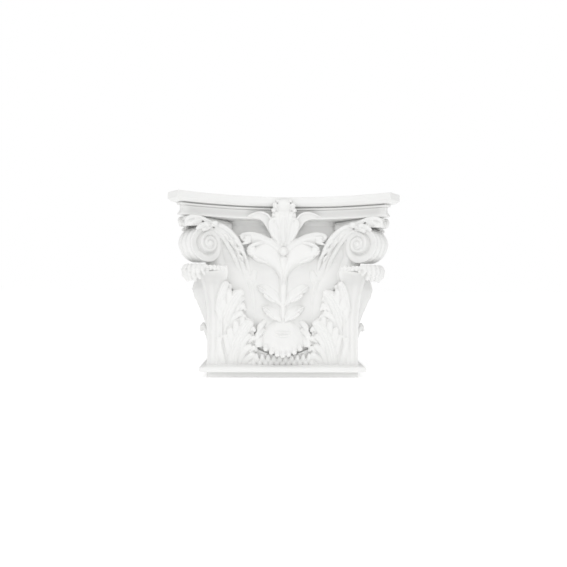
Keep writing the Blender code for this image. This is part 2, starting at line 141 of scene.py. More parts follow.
def bead(x, z, reach, halfX, halfZ, halfReach, sides=20, rows=12):
    rings = []
    turns = 2 * pi * np.arange(sides) / sides
    for r in range(1, rows):
        polar = pi * r / rows
        rings.append(np.column_stack([x + halfX * sin(polar) * np.cos(turns),
                                      reach + halfReach * sin(polar) * np.sin(turns),
                                      np.full(sides, z + halfZ * cos(polar))]))
    return ringSolid(rings, [x, reach, z + halfZ], [x, reach, z - halfZ])


def shell(outer, inner):
    # closed leaf between an outer and an inner grid
    rows, columns = outer.shape[:2]
    points = np.vstack([outer.reshape(-1, 3), inner.reshape(-1, 3)])
    back = rows * columns
    faces = []
    for r in range(rows - 1):
        for c in range(columns - 1):
            a = r * columns + c
            faces.append((a, a + 1, a + columns + 1, a + columns))
            faces.append((back + a, back + a + columns, back + a + columns + 1, back + a + 1))
    rim = [(0, c) for c in range(columns)] + [(r, columns - 1) for r in range(1, rows)]
    rim += [(rows - 1, c) for c in range(columns - 2, -1, -1)] + [(r, 0) for r in range(rows - 2, 0, -1)]
    for i, (r, c) in enumerate(rim):
        nextR, nextC = rim[(i + 1) % len(rim)]
        a, b = r * columns + c, nextR * columns + nextC
        faces.append((b, a, back + a, back + b))
    return points, faces


def stacked(loops):
    loops = np.asarray(loops, float)
    rows, count = loops.shape[:2]
    faces = []
    for r in range(rows - 1):
        for i in range(count):
            j = (i + 1) % count
            a = r * count
            faces.append((a + i, a + j, a + count + j, a + count + i))
    faces.append(tuple(range(count)))
    top = (rows - 1) * count
    faces.append(tuple(range(top + count - 1, top - 1, -1)))
    return loops.reshape(-1, 3), faces


def otherSide(solid):
    # the same shape on the neighbouring face, across the diagonal
    points, faces = solid
    return points[:, [1, 0, 2]], faces


def mirrored(solid):
    points, faces = solid
    return points * np.array([-1, 1, 1]), faces


def bothHalves(solids):
    return solids + [mirrored(s) for s in solids]


# Solids to Blender

def addPiece(name, solids):
    form = bmesh.new()
    for points, faces in solids:
        verts = [form.verts.new(p) for p in place(points)]
        for face in faces:
            form.faces.new([verts[i] for i in face])
    bmesh.ops.recalc_face_normals(form, faces=form.faces)
    data = bpy.data.meshes.new(name)
    form.to_mesh(data)
    form.free()
    piece = bpy.data.objects.new(name, data)
    bpy.context.scene.collection.objects.link(piece)
    return piece


def settle(piece):
    graph = bpy.context.evaluated_depsgraph_get()
    data = bpy.data.meshes.new_from_object(piece.evaluated_get(graph))
    piece.modifiers.clear()
    piece.data = data


def largestSkin(data):
    # hollows shut in between the shapes are cast solid, so only the outer skin stays
    form = bmesh.new()
    form.from_mesh(data)
    left = set(form.verts)
    skins = []
    while left:
        skin, front = [], [left.pop()]
        while front:
            vert = front.pop()
            skin.append(vert)
            for edge in vert.link_edges:
                other = edge.other_vert(vert)
                if other in left:
                    left.discard(other)
                    front.append(other)
        skins.append(skin)
    largest = max(skins, key=len)
    spare = [v for skin in skins if skin is not largest for v in skin]
    bmesh.ops.delete(form, geom=spare, context="VERTS")
    form.to_mesh(data)
    form.free()


def cutAtWall(piece, clearance):
    plane = drawn["wallReach"] + clearance
    cutter = addPiece("wallCutter", [stacked([
        [(400, plane, z), (400, -60, z), (-400, -60, z), (-400, plane, z)] for z in (-60, 320)])])
    cut = piece.modifiers.new("cut at wall", "BOOLEAN")
    cut.solver = "MANIFOLD"
    cut.operation = "DIFFERENCE"
    cut.object = cutter
    settle(piece)
    bpy.data.objects.remove(cutter, do_unlink=True)


def growTogether(name, solids, clearance):
    # shapes that overlap become one carved skin, cut a hair in front of the wall
    piece = addPiece(name, solids)
    grow = piece.modifiers.new("grow together", "REMESH")
    grow.mode = "VOXEL"
    grow.voxel_size = mesh["grain"]
    soften = piece.modifiers.new("soften", "SMOOTH")
    soften.factor = 0.5
    soften.iterations = mesh["smoothing"]
    settle(piece)
    largestSkin(piece.data)
    triangles = sum(len(f.vertices) - 2 for f in piece.data.polygons)
    if triangles > mesh["mostTriangles"]:
        thin = piece.modifiers.new("thin out", "DECIMATE")
        thin.ratio = mesh["mostTriangles"] / triangles
        settle(piece)
    cutAtWall(piece, clearance)
    piece.data.shade_smooth()
    print(name, "made,", len(piece.data.polygons), "faces")
    return piece


def mirrorPiece(piece, name):
    form = bmesh.new()
    form.from_mesh(piece.data)
    for vert in form.verts:
        vert.co.x = -vert.co.x
    bmesh.ops.reverse_faces(form, faces=form.faces)
    data = bpy.data.meshes.new(name)
    form.to_mesh(data)
    form.free()
    data.shade_smooth()
    copy = bpy.data.objects.new(name, data)
    bpy.context.scene.collection.objects.link(copy)
    return copy


# Bell, with its stem, leaves, flower and foot leaf

bell = {"half": 95.5, "cornerRadius": 22.0, "topHollow": 8.5, "low": 12.0, "high": 228.0}


def bellLoop(half, z):
    radius = bell["cornerRadius"]
    back = drawn["wallReach"] - 8
    loop = [(half, back, z)]
    for k in range(13):
        turn = pi / 2 * k / 12
        loop.append((half - radius + radius * cos(turn), half - radius + radius * sin(turn), z))
    return loop + [(-x, reach, z) for x, reach, z in reversed(loop)]


def bellSolid():
    half, low, high = bell["half"], bell["low"], bell["high"]
    heights = [(low, 0), (60, 0), (120, 0), (188, 0), (200, -1.5), (209, -5), (217, -bell["topHollow"]),
               (high, -bell["topHollow"])]
    return [stacked([bellLoop(half + change, z) for z, change in heights])]


def centreStem():
    stem = lobe([(0, 76, 94.5, 2.4, 2), (0, 95, 95, 4.0, 4), (0, 130, 96, 5.3, 5),
                 (0, 152, 97.5, 5.8, 5.5), (0, 170.5, 99.5, 5.4, 5.2)], flutes=2, fluteDepth=0.4)
    bud = bead(0, 178.5, 102, 6.2, 6.2, 7)
    return [stem, bud]


def sheetBetween(lower, upper, thickness, crown=1.5, skew=1.0, flutes=0, fluteDepth=0.4, rows=46, columns=33):
    # leaf between two edges whose stations are (x, z, reach); it swells by crown, and a skew under 1
    # moves the swelling towards the lower edge, which then turns under
    lowerLine, upperLine = smoothLine(lower, rows), smoothLine(upper, rows)
    thick = smoothLine([[t] for t in thickness], rows)[:, 0]
    outer, inner = [], []
    for r in range(rows + 1):
        line, back = [], []
        fade = sin(pi * r / rows) ** 0.5 if flutes else 0
        for c in range(columns):
            u = c / (columns - 1)
            x, z, reach = lowerLine[r] + (upperLine[r] - lowerLine[r]) * u
            reach += crown * sin(pi * u ** skew) - fluteDepth * fade * (0.5 - 0.5 * cos(2 * pi * flutes * u))
            line.append((x, reach, z))
            back.append((x, reach - thick[r] * (1 - 0.35 * abs(2 * u - 1) ** 4), z))
        outer.append(line)
        inner.append(back)
    return shell(np.array(outer), np.array(inner))


def stemLeaves():
    # the top pair is two leaves, one before the other; the two pairs below it are small and curled
    front = sheetBetween(
        [(3, 125, 94.5), (5, 138.5, 95), (9.5, 148, 95.5), (17, 155.4, 95.5), (27, 161.2, 96), (38, 164.6, 97),
         (46.5, 170.8, 98.5), (51, 178, 101)],
        [(0, 148, 97.5), (0, 164, 98), (7, 180, 98.8), (17, 190, 99.5), (26, 192, 99.8), (36, 188.2, 101.0),
         (45, 183.6, 102.2), (51.5, 178.5, 102.2)], [9, 8, 7, 7, 7, 7, 6, 4], crown=7.4, skew=0.62)
    back = sheetBetween(
        [(0, 152, 98), (4, 166, 99), (12, 178, 99.5), (22, 186, 100), (32, 189, 100), (42, 188.5, 100),
         (50, 187.5, 100), (60, 193, 99)],
        [(0, 170, 97), (1, 186, 98), (10, 193, 99), (22, 199, 99.8), (35, 204.5, 100.3), (48, 206.5, 101),
         (57, 205, 101), (63, 201.5, 100.5)], [8, 8, 8, 7, 6.5, 6, 5.5, 4], crown=2.0, flutes=2, fluteDepth=0.3)
    backTips = [lobe([(47, 192 + k * 3, 101, 2.6, 3.4), (53, 190 + k * 4.2, 102.5, 2.3, 3),
                      (59 - k * 1.5, 188.5 + k * 5, 101.5, 1.1, 2)], gouge=0.2) for k in (0, 1, 2)]
    frontTips = [lobe([(41, 174 + k * 4, 104, 2.6, 3), (47, 174.5 + k * 3.6, 104.5, 2.2, 2.6),
                       (52 - abs(k - 1), 175.5 + k * 3.4, 103, 1.1, 1.8)], gouge=0.2) for k in (0, 1, 2)]
    middle = sheetBetween(
        [(3.5, 99.5, 95), (10, 104.5, 96), (18, 109.5, 96.5), (26, 115.5, 96.5), (34.5, 124, 96.5)],
        [(3, 110, 95.5), (9, 120, 95.8), (17, 126.5, 95.8), (26, 131, 95.8), (35, 129, 95.8)],
        [6, 7, 7, 7, 5], crown=5.4, skew=0.62)
    middleRoll = lobe([(12, 106.4, 98.5, 1.4, 1.8), (20, 110.8, 101.2, 2.5, 2.7),
                       (27, 116.4, 101.2, 2.3, 2.5)], flutes=1)
    lower = sheetBetween(
        [(2.5, 76, 95), (9, 79.5, 96), (17, 84, 96.5), (23, 88.5, 96.5), (28.5, 94.5, 96.5)],
        [(2, 86, 95.5), (7, 94, 95.8), (14, 98.5, 95.8), (21, 101.3, 95.8), (28.5, 99.5, 95.8)],
        [6, 7, 7, 7, 5], crown=5.0, skew=0.62)
    lowerRoll = lobe([(10.5, 81.0, 98.3, 1.3, 1.7), (17, 85.2, 100.8, 2.3, 2.6),
                      (23, 89.8, 100.8, 2.1, 2.4)], flutes=1)
    frontRoll = lobe([(23, 162.4, 100.6, 1.6, 1.8), (33, 165.8, 103.6, 2.4, 2.6),
                      (42, 170.2, 104.6, 2.2, 2.4)], flutes=1)
    backRoll = lobe([(27, 191.5, 99.5, 1.3, 1.6), (35, 190.3, 102.6, 2.3, 2.8), (43, 187.2, 104.4, 2.5, 3.2),
                     (50, 183.2, 104, 1.6, 2.2)])
    middleTip = lobe([(23, 118.5, 98.2, 2.4, 2.0), (28.5, 121.8, 100.6, 3.7, 2.6), (33.5, 125.4, 100.6, 3.4, 2.3),
                      (37, 128.2, 98.4, 1.4, 1.4)], gouge=0.9, facing=(0.2, 0.75, -0.65))
    lowerTip = lobe([(17.5, 90, 98.0, 2.2, 1.9), (22.5, 93.0, 100.2, 3.5, 2.5), (27, 96.4, 100.2, 3.2, 2.2),
                     (30.5, 99.2, 98, 1.3, 1.3)], gouge=0.9, facing=(0.2, 0.75, -0.65))
    topPair = [front, frontRoll, back, backRoll]
    smallPairs = [middle, middleRoll, middleTip, lower, lowerRoll, lowerTip]
    return topPair + smallPairs + backTips + frontTips


def stalkAndCalyx():
    post = lobe([(42, 60, 92, 5.5, 3), (43, 95, 92, 6, 4.2), (45, 120, 92.2, 6, 4.8), (49, 136, 92.5, 6, 5)],
                flutes=2, fluteDepth=0.9)
    petals = [lobe([(50, 124, 91, 3, 3.5), (middle, 138, 94.4, 5.4, 3.8), (middle + lean, 151, 94.6, 2.6, 2.6)],
                   gouge=0.4, flutes=1) for middle, lean in ((45, -4), (53, -1), (61, 5), (68, 8))]
    return [post] + petals


def fleuronMiddle():
    body = lobe([(0, 182, 93, 6, 3), (0, 190, 95, 12, 6.5), (0, 202, 98, 19, 8.5), (0, 215, 103.5, 22, 9),
                 (0, 226, 109.5, 18, 8), (0, 235, 113, 10, 5)], sides=48, steps=44, flutes=4, fluteDepth=1.3)
    heart = lobe([(0, 192, 102, 3, 4), (0, 207, 107, 5, 5), (0, 220, 112, 5.2, 5), (0, 227, 114, 3, 4)],
                 flutes=1, fluteDepth=0.9)
    head = lobe([(0, 232, 110, 6, 3), (0, 237.5, 116.5, 8.4, 4.2), (0, 243.5, 119.5, 8.4, 4.2),
                 (0, 248.5, 117, 6, 3)], gouge=0.15)
    return [body, heart, head]


def fleuronSide():
    wing = sheetBetween(
        [(12, 194, 98), (19, 203, 101), (25, 213, 104.5), (31, 220.5, 107.5), (41, 223.5, 109.5),
         (57, 222.5, 107.5)],
        [(14, 216, 108.5), (19, 225, 111), (26, 230.5, 112.5), (35, 232, 112.8), (45, 229.8, 111.5),
         (57.5, 224.5, 108)],
        [6, 5.5, 5, 4.5, 4, 3.5], crown=-0.8)
    wingEdge = lobe([(15, 217, 109, 1.4, 2), (22, 228, 112, 1.5, 2), (32, 231.8, 113.3, 1.4, 1.8),
                     (43, 230.2, 112, 1.1, 1.5), (55, 225, 109, 0.8, 1.2)])
    petal = lobe([(9, 196, 99, 4, 4), (15, 206, 103.5, 5.2, 4.5), (18, 216, 109, 4.8, 3.8),
                  (16.5, 222.5, 111.5, 2.6, 2.6)], gouge=0.3)
    curl = lobe([(9, 221.5, 112.5, 1.8, 2), (14, 223, 113.5, 2.0, 2.2), (18.5, 220.5, 111.5, 1.4, 1.8)])
    inner = lobe([(5, 212, 107, 3.5, 5), (8.5, 223, 112, 3.8, 4.5), (10.5, 231, 115.5, 3, 3.2)], gouge=0.2)
    ears = [bead(12.6, 241, 117, 3.8, 3.9, 4), bead(14.6, 234.6, 115, 3.3, 3.0, 3.6),
            bead(14.4, 228.6, 113, 3.0, 2.8, 3.2), bead(8.6, 247, 117.6, 2.8, 2.4, 2.8),
            bead(8.8, 239, 113.5, 4.5, 5.5, 4)]
    return [wing, wingEdge, petal, curl, inner] + ears


# overturned leaf at the foot
hood = {
    "halfWidth": 36.0, "top": 92.0, "lipMiddle": 29.5, "lipSide": 47.0,   # its outline
    "shoulderDrop": 16.0,                  # how much lower the top is at the sides
    "root": 93.0, "swell": 19.0,           # reach where it starts, and how far it stands out from there
    "scallops": 9, "scallopDepth": 1.6, "scallopRise": 0.8, "lipTuck": 3.0,
    "thickness": 5.0, "deepest": 88.0,
}


def lipHeight(u):
    # height of the lip from the middle, 0, to the side, 1
    return hood["lipMiddle"] + (hood["lipSide"] - hood["lipMiddle"]) * abs(u) ** 1.6


def hoodSolid():
    rows, columns = 40, 109
    outer, inner = [], []
    for r in range(rows + 1):
        v = r / rows
        line, back = [], []
        for c in range(columns):
            u = -1 + 2 * c / (columns - 1)
            wave = cos(pi * hood["scallops"] * u)
            lip = lipHeight(u) - hood["scallopDepth"] * wave * v ** 3
            width = hood["halfWidth"] * (0.5 + 0.5 * sin(pi / 2 * min(1, v * 1.35)))
            z = hood["top"] - hood["shoulderDrop"] * u * u * (1 - v) + (lip - hood["top"]) * v
            dome = 1 - (0.95 - 0.5 * v ** 3) * abs(u) ** (2.2 + v)
            reach = hood["root"] + hood["swell"] * sin(pi / 2 * min(1, v * 1.02)) ** 1.35 * dome
            reach += hood["scallopRise"] * wave * v ** 4 - hood["lipTuck"] * max(0, (v - 0.86) / 0.14) ** 2
            line.append((u * width, reach, z))
            back.append((u * width * 0.95, max(reach - hood["thickness"], hood["deepest"]), z + 1.5 - 1.5 * v))
        outer.append(line)
        inner.append(back)
    return [shell(np.array(outer), np.array(inner))]


def hoodBits():
    # curls and knobs up its side, rows of leaf tips under its lip, and the two bars on its front
    curls = [lobe([(26, 78, 95, 3, 3), (32, 72, 99.5, 4.4, 4), (35, 65.5, 101.5, 2.8, 3.2)], gouge=0.25),
             lobe([(27, 67, 97, 3, 3), (34, 61.5, 102, 4.6, 4), (37, 54.5, 104.5, 2.8, 3.2)], gouge=0.25),
             lobe([(28, 56, 99, 3, 3), (34.5, 50.5, 104.5, 4.4, 4), (36.5, 43.5, 106, 2.8, 3.2)], gouge=0.25),
             bead(38.5, 59, 101, 2.4, 2.2, 2.6), bead(39, 48, 102.5, 2.4, 2.2, 2.6)]
    under = []
    for k in range(5):
        u = 2 * k / hood["scallops"]
        lip = lipHeight(u)
        reach = hood["root"] + hood["swell"] * (1 - 0.45 * u ** 3.2)
        under.append(lobe([(hood["halfWidth"] * u * 0.97, lip + 8, reach - 1.8, 2.2, 2.2),
                           (hood["halfWidth"] * u, lip + 2.6, reach - 0.6, 3.7, 3.0),
                           (hood["halfWidth"] * u, lip + 0.2, reach - 2.0, 3.0, 2.4)], facing=(0, 1, -0.2)))
    for row, (z, reach) in enumerate(((25.5, 103.5), (18.5, 102))):
        for k in range(5 + row):
            x = 8.2 * k + (4.1 if row == 0 else 0)
            under.append(lobe([(x, z - 6, reach - 5, 2.8, 3), (x, z, reach - 1, 3.4, 3.2),
                               (x + 0.5, z + 3.6 + 0.1 * x, reach - 1.5, 2.2, 2.4)], gouge=0.2))
    under.append(sheetBetween([(0, 12, 96), (20, 12, 96), (38, 12, 96)],
                              [(0, 31, 102), (20, 33, 101), (38, 40, 98)], [6, 6, 6], crown=1.5))
    bars = [lobe([(-10, z, reach - 0.4, 0.9, 0.9), (0, z - 0.6, reach + 0.6, 1.1, 1.2),
                  (10, z, reach - 0.4, 0.9, 0.9)]) for z, reach in ((63.8, 104.2), (59.4, 106.2))]
    return curls + under + bars


# Corner of the capital: its big leaf, volute, stem and horn leaf

cornerLeaf = {
    # height, reach of the rib on the diagonal, x and reach of the inner edge, hollow, thickness
    "rows": [
        (14, 105.4, 87, 103.5, 0.0, 26), (45, 104.8, 86, 106, 0.8, 26), (70, 104.8, 85, 109, 1.2, 26),
        (88, 105.2, 85, 111.5, 1.6, 26), (104, 106.3, 85, 114.5, 2.0, 24), (116, 107.8, 84.5, 117.0, 2.4, 20),
        (126, 109.6, 83, 118.0, 3.0, 14), (135, 111.6, 80, 118.8, 3.6, 9), (142, 114.8, 77.5, 120.4, 4.0, 7.5),
        (147, 119.2, 76, 123.8, 3.6, 6.5), (150.5, 124.2, 75.5, 128.2, 2.6, 6),
        (153, 128.4, 75.5, 132, 1.4, 5.5), (155, 131.4, 76.5, 134.4, 0.5, 5),
    ],
    # the side of the leaf flares out further: height, and how much further its edge reaches
    "sideFlare": [(14, 0), (60, 1), (80, 5), (96, 9), (112, 13), (124, 15), (134, 12), (145, 5), (155, 0)],
    "ribHeight": 3.0, "ribShare": 0.075,   # the rib, and its share of the leaf's width
    "flutes": 3, "fluteDepth": 0.55,
    "tip": 156.0,                          # height of the head's lobes
}


def cornerBlade(onSide=False):
    rows = smoothLine(cornerLeaf["rows"], 90)
    flareAt, flare = np.array(cornerLeaf["sideFlare"], float).T
    columns = 41
    outer, inner = [], []
    for z, rib, edgeX, edgeReach, hollow, thick in rows:
        edgeReach += np.interp(z, flareAt, flare) if onSide else 0
        fluteDepth = cornerLeaf["fluteDepth"] * min(1, max(0.15, (140 - z) / 30))   # fading towards the tip
        line, back = [], []
        for c in range(columns):
            t = c / (columns - 1)
            x = rib + (edgeX - rib) * t
            rise = cornerLeaf["ribHeight"] * max(0, 1 - (t / cornerLeaf["ribShare"]) ** 2)
            groove = (0.5 - 0.5 * cos(2 * pi * cornerLeaf["flutes"] * t)) * min(1, t * 6)
            reach = rib + (edgeReach - rib) * t - hollow * sin(pi * t) - fluteDepth * groove
            line.append((x + rise * 0.7, reach + rise * 0.7, z))
            back.append((x - thick * 0.71 * (1 - t), reach - thick * (0.71 + 0.25 * t), z - 2.0 * (z > 130)))
        outer.append(line)
        inner.append(back)
    return [shell(np.array(outer), np.array(inner))]


def cornerHead():
    # knuckled lobes that hang over at the tip, and the scallops along the rest of the edge
    shapes = []
    top = cornerLeaf["tip"]
    for x, reach, drop in ((127, 133, 19), (121, 136, 20), (115, 136.5, 17), (109, 135.5, 11)):
        shapes.append(lobe([(x - 5, 149, reach - 9, 3.4, 3.6), (x - 1.5, 155.5, reach - 4, 3.7, 3.8),
                            (x, 152, reach + 0.5, 3.6, 3.4), (x - 0.3, top - drop * 0.62, reach - 0.5, 3.3, 3.2),
                            (x - 2.2, top - drop, reach - 5, 2.2, 2.6)],
                           facing=(0.3, 1, 0.15), flutes=1, fluteDepth=0.8))
        shapes.append(bead(x - 0.4, 150.5, reach + 2.8, 2.4, 2.6, 1.8))
        shapes.append(bead(x - 0.8, top - drop * 0.66, reach + 2.0, 2.1, 2.4, 1.7))
        shapes.append(bead(x - 2.6, 157.2, reach - 3.5, 2.4, 2.0, 2.4))
    shapes.append(lobe([(124, 152, 124, 7, 4), (128, 147, 128, 7, 5), (126, 138, 126, 5, 4)], facing=(1, 1, 0)))
    for k, drop in enumerate((0, 0.1, 0.3, 0.6, 0.9, 1.3)):
        x = 104 - 5.2 * k
        shapes.append(lobe([(x + 0.3, 151.5, 128.0 - 0.3 * k, 2.3, 2.0), (x, 154, 131.4 - 0.3 * k, 2.5, 2.2),
                            (x - 0.3, 156.4 - drop, 134.2 - 0.3 * k, 2.2, 1.9)], facing=(0, 1, 0.6)))
    return shapes


def sideTip():
    # tip of the lowest leaf of the neighbouring face, seen past the corner
    return [lobe([(72, 30, 100, 6.5, 6), (77, 52, 106.5, 7.5, 7), (78, 67, 113.5, 6, 5.5), (77, 70, 118, 4.6, 4),
                  (76, 63, 120, 3, 3)], gouge=0.25, flutes=1)]


# fingers beside the corner leaf on the front: (x, z, reach, half width, half thickness)
tiers = {
    "lowest": [
        [(72, 14, 98, 8, 5), (68, 38, 102, 8.5, 6), (61, 58, 105, 8.5, 6.5), (51, 73, 107.5, 7.5, 6),
         (39, 82, 107, 3.2, 4.5)],
        [(68, 24, 98, 4, 5), (60, 43, 102.5, 5, 5.5), (52, 55, 105, 4.6, 5.5), (42, 62, 105, 2.6, 4)],
        [(66, 14, 97, 5, 5), (59, 31, 100.5, 5, 5), (51, 41, 103, 4.6, 5), (41, 46.5, 103, 2.4, 4)],
        [(60, 13, 96, 5, 5), (53, 23, 99, 4.6, 5), (45, 30, 101.5, 4.2, 4.5), (37, 34, 101, 2.2, 3.5)],
        [(53, 12, 96, 5, 5), (46, 18, 99, 4.2, 4.5), (38, 23, 100, 2.6, 3.5)],
        [(75, 34, 100, 5, 5), (79, 51, 103.5, 4.6, 5), (83, 66, 105, 2.2, 3.6)],
        [(71, 46, 102, 4.6, 5.5), (74, 62, 105.5, 4.6, 5), (76, 75, 106.5, 2.2, 3.6)],
        [(65, 56, 103, 4.6, 5.5), (66, 71, 106.5, 4.6, 5), (67, 84, 107.5, 2.2, 3.6)],
        [(57, 66, 104, 4.2, 5), (57, 79, 107, 3.8, 4.5), (57.5, 88, 107, 2, 3.4)],
        [(83, 14, 99, 5, 5), (88, 34, 102.5, 5, 5), (90, 50, 104, 4, 5), (90, 61, 104, 2.2, 3.6)],
    ],
    "middle": [
        [(87, 56, 99, 6, 5), (82, 80, 104.5, 7.5, 6), (74, 101, 109.5, 8, 6.5), (64, 116, 112.5, 7.2, 6),
         (52, 124.5, 112, 3.2, 4.5)],
        [(68, 97, 105, 4, 5), (62, 107.5, 109, 4, 5), (55.5, 113.5, 110, 2.2, 3.8)],
        [(76, 82, 101.5, 4.6, 5), (68, 96, 105.5, 5, 5.5), (60, 102, 107.5, 4.2, 5), (51.5, 102, 106.5, 2.3, 3.8)],
        [(78, 70, 101, 4.6, 5), (70, 84.5, 104.5, 4.6, 5.5), (62, 90, 106, 4.2, 5), (53.5, 90, 105, 2.3, 3.8)],
        [(86, 78, 104, 4.6, 5), (89, 93, 108.5, 4.6, 5), (91, 106, 110.5, 2.3, 3.8)],
        [(81, 88, 106, 4.6, 5), (83.5, 104, 111.5, 4.6, 5), (85.5, 118, 114, 2.3, 3.8)],
        [(75, 101, 109, 4.2, 5), (75, 116, 114, 4.2, 5), (76, 128, 115.5, 2.2, 3.8)],
    ],
    "highest": [
        [(91, 94, 107, 5, 5), (87, 113, 113, 6, 5.5), (82, 128, 118, 5.5, 5), (75, 138, 119, 2.6, 3.8)],
        [(86, 106, 110, 4, 4.5), (79, 120, 114, 4, 4.5), (71, 127, 115, 2, 3.4)],
    ],
}


# how the tip of a finger is drawn back and widened, so that it ends bluntly
fingerTip = {"kept": 0.6, "widen": 1.3, "sink": 0.5}

# curls at the edge of the two lower tiers: where they sit, and the x of root, crest and tip from there
edgeCurls = [
    {"at": [(44, 68, 105), (42, 54, 104), (41, 40, 102.5), (40, 27, 101)],
     "x": (6, -0.5, -4.5), "width": (3.5, 2.0), "drop": 2.8},
    {"at": [(60, 112, 110), (57.5, 98, 107), (57, 85, 104.5)],
     "x": (5, -1, -5), "width": (3.3, 1.9), "drop": 2.5},
]


def cornerTiers():
    # broad leaves first, then the curls and the fingers at their edges
    shapes = [
        sheetBetween([(36, 13, 97.5), (37, 28, 99), (39, 42, 101), (40, 56, 102.5), (42, 68, 104), (44, 78, 104.5)],
                     [(90, 13, 101), (90, 35, 103), (88, 55, 105), (80, 72, 106), (66, 82, 106.5), (48, 84, 106)],
                     [8, 8, 8, 8, 7, 4], crown=1.5, flutes=4, fluteDepth=0.7),
        sheetBetween([(52, 70, 99.5), (54, 84, 101.5), (56, 96, 104), (56, 108, 106.5), (56, 118, 108.5)],
                     [(90, 62, 104), (90, 84, 107), (90, 100, 111), (84, 116, 113.5), (66, 124, 113)],
                     [8, 8, 8, 7, 4], crown=1.5, flutes=3, fluteDepth=0.7),
        # the bell swells towards the corner
        sheetBetween([(38, 74, 94.5), (42, 100, 95), (46, 125, 95), (51, 145, 94.5), (55, 168, 93.5)],
                     [(62, 66, 101), (66, 98, 104), (72, 124, 104.5), (82, 146, 102.5), (92, 172, 101)],
                     [8, 8, 8, 8, 8], crown=0.8),
        sheetBetween([(76, 108, 107), (73, 120, 111), (71, 130, 113.5)],
                     [(90, 100, 112), (88, 118, 118), (80, 136, 120)],
                     [8, 7, 5], crown=1.0, flutes=1, fluteDepth=0.5),
    ]
    for curls in edgeCurls:
        root, crest, tip = curls["x"]
        crestWidth, tipWidth = curls["width"]
        for x, z, reach in curls["at"]:
            shapes.append(lobe([(x + root, z - 3, reach - 2, 3.0, 3.2),
                                (x + crest, z + 1.5, reach + 0.8, crestWidth, 3.2),
                                (x + tip, z - curls["drop"], reach - 1.5, tipWidth, 2.4)], gouge=0.3))
    kept = fingerTip["kept"]
    for fingers in tiers.values():
        for number, stations in enumerate(fingers):
            x, z, reach, width, thickness = stations[-1]
            lastX, lastZ = stations[-2][:2]
            blunt = (x * kept + lastX * (1 - kept), z * kept + lastZ * (1 - kept),
                     reach - fingerTip["sink"], width + fingerTip["widen"], thickness)
            isMain = number == 0   # the first finger of a tier is the broad one
            shapes.append(lobe(stations[:-1] + [blunt], sides=24, steps=30, gouge=0.28,
                               flutes=3 if isMain else 1, fluteDepth=1.0 if isMain else 0.6))
    return shapes


volute = {
    "eyeX": 100.7, "eyeReach": 123.1, "eyeHeight": 187.0,
    # distance of the ridge from the eye at each quarter turn, from the top outwards
    "ridge": [23.0, 30.7, 25.5, 18.6, 17.5, 14.5, 10.5, 10.8, 10.0, 7.5, 6.0, 5.0, 3.6],
    "half": 15.8, "taper": 0.02, "coneRise": 2.6, "rimHollow": 1.7,
    # the hollow between one turn and the next, in shares of its width
    "valley": 0.36, "valleyAt": 0.16, "valleySpread": 0.2, "bowl": 0.09,
    "eyeRadius": 3.2, "eyeRise": 0.9,
}


def ridgeAt(angle):
    # the ridge's distance from the eye; angle grows from the top outwards
    quarters = np.clip(angle / (pi / 2), 0, len(volute["ridge"]) - 1.001)
    table = np.array(volute["ridge"])
    index = quarters.astype(int)
    share = quarters - index
    eased = share * share * (3 - 2 * share) * 0.4 + share * 0.6
    return table[index] + (table[index + 1] - table[index]) * eased


def faceLift(radius, angle):
    # hollow between one turn of the ridge and the next, and the eye standing proud
    turns = [ridgeAt(angle + 2 * pi * k) for k in range(4)]
    lift = np.zeros_like(radius)
    for outerTurn, innerTurn in zip(turns[:-1], turns[1:]):
        inside = (radius <= outerTurn) & (radius > innerTurn)
        gap = np.maximum(outerTurn - innerTurn, 0.5)
        t = np.clip((radius - innerTurn) / gap, 0, 1)
        valley = volute["valley"] * np.exp(-((t - volute["valleyAt"]) / volute["valleySpread"]) ** 2)
        hollow = gap * np.minimum(1, t / 0.05) * (valley + volute["bowl"] * np.sin(pi * t) ** 2)
        lift = np.where(inside, -hollow, lift)
    lift += volute["coneRise"] * (1 - radius / np.maximum(turns[0], 1))
    dome = np.sqrt(np.maximum(0, 1 - (radius / (volute["eyeRadius"] + 0.2)) ** 2))
    return np.where(radius < volute["eyeRadius"], volute["coneRise"] + volute["eyeRise"] * dome, lift)


def voluteSolid():
    sides = 120
    angles = 2 * pi * np.arange(sides) / sides
    rimRadius = ridgeAt(angles)
    # the first turn starts where the stem runs into it, so the step at the top is eased
    ease = np.clip((angles - 1.55 * pi) / (0.45 * pi), 0, 1)
    rimRadius = rimRadius + (volute["ridge"][0] - rimRadius) * ease * ease * (3 - 2 * ease)

    def halfAt(along):
        return volute["half"] - volute["taper"] * along

    rings = []
    shares = list(np.linspace(0.03, 0.985, 44))
    for share in shares:
        radius = rimRadius * share
        along = radius * np.sin(angles)
        rings.append((along, halfAt(along) + faceLift(radius, angles), radius * np.cos(angles)))
    for across in np.linspace(1, -1, 25):
        hollow = volute["rimHollow"] * (0.5 - 0.5 * cos(3 * pi * (across + 1)))
        radius = rimRadius + 0.5 * (1 - across ** 2) - hollow
        along = radius * np.sin(angles)
        rings.append((along, halfAt(along) * across * 0.985, radius * np.cos(angles)))
    for share in reversed(shares):
        radius = rimRadius * share
        along = radius * np.sin(angles)
        rings.append((along, -halfAt(along) - faceLift(radius, angles), radius * np.cos(angles)))
    eyeOut = (volute["eyeX"] + volute["eyeReach"]) / 2
    turned = [np.column_stack([eyeOut + (along - across) / sqrt(2), eyeOut + (along + across) / sqrt(2),
                               volute["eyeHeight"] + up]) for along, across, up in rings]
    return [ringSolid(turned[1:-1], turned[0].mean(axis=0), turned[-1].mean(axis=0))]


